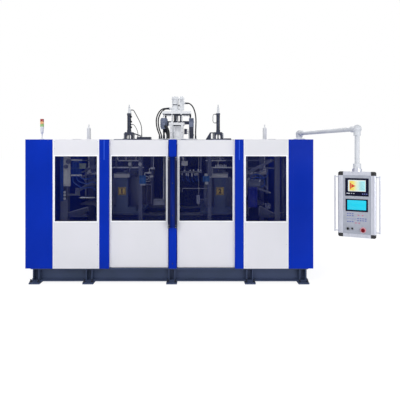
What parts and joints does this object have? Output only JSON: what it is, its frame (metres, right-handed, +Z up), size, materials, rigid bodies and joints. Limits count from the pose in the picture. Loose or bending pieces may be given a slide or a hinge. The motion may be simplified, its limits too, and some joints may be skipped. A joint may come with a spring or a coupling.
{
  "type": "blow moulding machine",
  "caption": "Blow moulding machine with sliding doors, shuttling clamp carriages, blow pins, die-head tower, extruder, stack light and an operator panel on a swing arm.",
  "frame": {"origin": "on the floor, at the centre of the four corner anchor holes", "axes": "+X along the machine to the operator panel, +Y to the back, +Z up"},
  "size_m": [5.0867, 4.5035, 3.114],
  "materials": {
    "base_paint": "satin slate paint",
    "ground_steel": "ground",
    "mould_aluminium": "milled",
    "cabinet_blue": "gloss powder coat",
    "panel_white": "satin powder coat",
    "tinted_pane": "tinted, gloss",
    "handle_black": "satin",
    "cylinder_grey": "satin",
    "light_grey": "satin",
    "tower_white": "satin",
    "motor_blue_grey": "satin",
    "head_steel": "turned",
    "band_steel": "rolled sheet",
    "drive_blue": "satin",
    "hopper_steel": "rolled sheet",
    "hose_rubber": "matt",
    "lamp_lens": "clear coloured",
    "panel_aluminium": "satin anodised",
    "cap_plastic": "moulded",
    "display_bezel": "gloss",
    "stop_red": "moulded",
    "control_black": "moulded"
  },
  "bodies": {
    "machine": {"base_frame": "base_paint", "machine_bed": "base_paint", "extruder_stand": "base_paint", "carriage_rails": "ground_steel", "door_tracks": "ground_steel", "takeout_trays": "ground_steel", "left_cabinet": "cabinet_blue", "right_cabinet": "cabinet_blue", "enclosure_posts": "cabinet_blue", "side_panels": "panel_white", "rear_panels": "panel_white", "top_frame": "panel_white", "side_windows": "tinted_pane", "blow_brackets": "cylinder_grey", "blow_cylinders": "cylinder_grey", "tower_guides": "cylinder_grey", "takeout_cylinders": "light_grey", "lamp_pole": "light_grey", "arm_base": "light_grey", "head_tower": "tower_white", "parison_servo": "tower_white", "lift_motor": "motor_blue_grey", "die_head": "head_steel", "extruder_barrel": "head_steel", "heater_bands": "band_steel", "extruder_drive": "drive_blue", "feed_hopper": "hopper_steel", "tower_hose_outer": "hose_rubber", "tower_hose_inner": "hose_rubber", "tower_hose_right": "hose_rubber", "motor_hose_outer": "hose_rubber", "motor_hose_inner": "hose_rubber", "pin_hose_upper": "hose_rubber", "pin_hose_lower": "hose_rubber", "pin_hose_right": "hose_rubber", "lamp_lenses": "lamp_lens"},
    "left_door": {"left_door": "panel_white", "left_window": "tinted_pane", "left_handle": "handle_black"},
    "right_door": {"right_door": "panel_white", "right_window": "tinted_pane", "right_handle": "handle_black"},
    "carriage_a": {"clamp_frame_a": "base_paint"},
    "front_mould_a": {"front_platen_a": "mould_aluminium"},
    "rear_mould_a": {"rear_platen_a": "mould_aluminium"},
    "carriage_b": {"clamp_frame_b": "base_paint"},
    "front_mould_b": {"front_platen_b": "mould_aluminium"},
    "rear_mould_b": {"rear_platen_b": "mould_aluminium"},
    "pin_a": {"blow_pin_a": "ground_steel"},
    "pin_b": {"blow_pin_b": "ground_steel"},
    "takeout_head_a": {"takeout_a": "light_grey"},
    "takeout_head_b": {"takeout_b": "light_grey"},
    "operator_arm": {"swing_arm": "light_grey"},
    "operator_panel": {"panel_housing": "panel_aluminium", "panel_face": "panel_aluminium", "panel_corner_caps": "cap_plastic", "panel_displays": "display_bezel"},
    "e_stop": {"e_stop_button": "stop_red"},
    "selector": {"selector_knob": "control_black"},
    "key": {"key_switch": "control_black"}
  },
  "joints": [
    {"name": "left_door_slide", "type": "slide", "parent": "machine", "child": "left_door", "axis": [-1, 0, 0], "range_m": [0, 0.85]},
    {"name": "right_door_slide", "type": "slide", "parent": "machine", "child": "right_door", "axis": [1, 0, 0], "range_m": [0, 0.8]},
    {"name": "carriage_b_slide", "type": "slide", "parent": "machine", "child": "carriage_b", "axis": [-1, 0, 0], "range_m": [-0.875, 0]},
    {"name": "carriage_a_slide", "type": "slide", "parent": "machine", "child": "carriage_a", "axis": [-1, 0, 0], "range_m": [0, 0.755]},
    {"name": "mould_b_close", "type": "slide", "parent": "carriage_b", "child": "front_mould_b", "axis": [0, 1, 0], "range_m": [0, 0.1795]},
    {"name": "mould_b_follow", "type": "slide", "parent": "carriage_b", "child": "rear_mould_b", "axis": [0, 1, 0], "range_m": [-0.1795, 0]},
    {"name": "mould_a_close", "type": "slide", "parent": "carriage_a", "child": "front_mould_a", "axis": [0, 1, 0], "range_m": [0, 0.1795]},
    {"name": "mould_a_follow", "type": "slide", "parent": "carriage_a", "child": "rear_mould_a", "axis": [0, 1, 0], "range_m": [-0.1795, 0]},
    {"name": "pin_b_stroke", "type": "slide", "parent": "machine", "child": "pin_b", "axis": [0, 0, -1], "range_m": [0, 0.13]},
    {"name": "pin_a_stroke", "type": "slide", "parent": "machine", "child": "pin_a", "axis": [0, 0, -1], "range_m": [0, 0.13]},
    {"name": "takeout_b_stroke", "type": "slide", "parent": "machine", "child": "takeout_head_b", "axis": [0, 0, -1], "range_m": [0, 0.15]},
    {"name": "takeout_a_stroke", "type": "slide", "parent": "machine", "child": "takeout_head_a", "axis": [0, 0, -1], "range_m": [0, 0.15]},
    {"name": "arm_swing", "type": "hinge", "parent": "machine", "child": "operator_arm", "pos_m": [2.14, -0.75, 2.344], "axis": [0, 0, 1], "range_deg": [-60, 90]},
    {"name": "panel_swivel", "type": "hinge", "parent": "operator_arm", "child": "operator_panel", "pos_m": [2.53341, -2.21821, 1.893], "axis": [0, 0, 1], "range_deg": [-60, 60]},
    {"name": "e_stop_press", "type": "slide", "parent": "operator_panel", "child": "e_stop", "axis": [0.4067, 0.9135, 0], "range_m": [0, 0.006], "stiffness_N_per_m": 500},
    {"name": "selector_turn", "type": "hinge", "parent": "operator_panel", "child": "selector", "pos_m": [2.41074, -2.22818, 1.113], "axis": [0.4067, 0.9135, 0], "range_deg": [-45, 45]},
    {"name": "key_turn", "type": "hinge", "parent": "operator_panel", "child": "key", "pos_m": [2.45916, -2.24974, 1.116], "axis": [0.4067, 0.9135, 0], "range_deg": [0, 90]}
  ],
  "couplings": [
    {"joint": "mould_b_follow", "follows": "mould_b_close", "ratio": -1},
    {"joint": "mould_a_follow", "follows": "mould_a_close", "ratio": -1}
  ]
}
